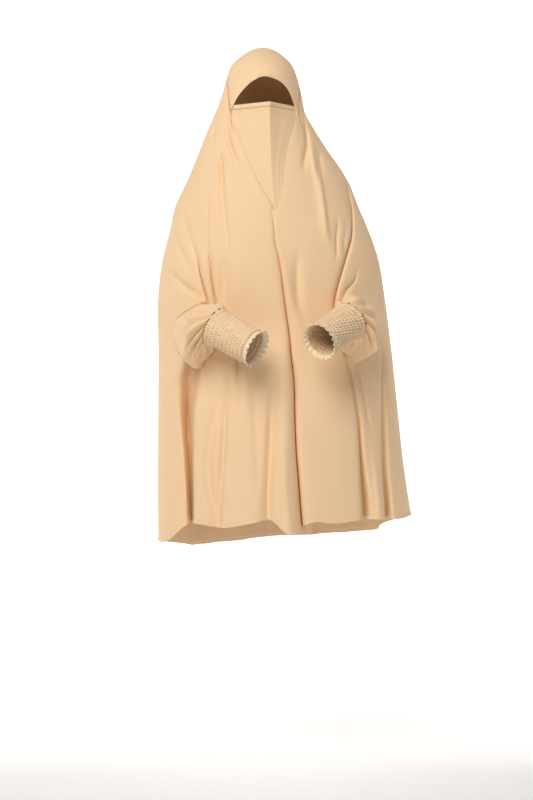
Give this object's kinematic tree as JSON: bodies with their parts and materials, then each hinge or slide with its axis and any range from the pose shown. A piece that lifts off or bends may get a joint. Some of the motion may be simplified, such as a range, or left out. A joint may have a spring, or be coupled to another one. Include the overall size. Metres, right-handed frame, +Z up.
{
  "type": "instant hijab",
  "caption": "Pull-on hooded cape that hangs to mid-thigh, with a face veil under a V-shaped opening and built-in gathered sleeves with smocked cuffs",
  "frame": {"origin": "the crown, inside the top of the hood, where it sits on the head", "axes": "+Z up, the face opening looks along -Y, +X is the wearer's left"},
  "size_m": [0.5667, 0.4705, 1.1276],
  "materials": {
    "crepe": "soft matte beige crepe",
    "veil_crepe": "soft matte beige crepe, one layer",
    "binding": "rolled and stitched beige edge",
    "smocking": "cream crepe bunched up by rows of elastic thread",
    "frill": "cream crepe with a wavy overlocked edge"
  },
  "bodies": {
    "root": {"cape": "crepe", "face_veil": "veil_crepe", "veil_hem": "veil_crepe", "face_binding": "binding", "right_arm_sleeve": "crepe", "left_arm_sleeve": "crepe", "right_arm_cuff": "smocking", "left_arm_cuff": "smocking", "right_arm_frill": "frill", "left_arm_frill": "frill"}
  },
  "joints": []
}
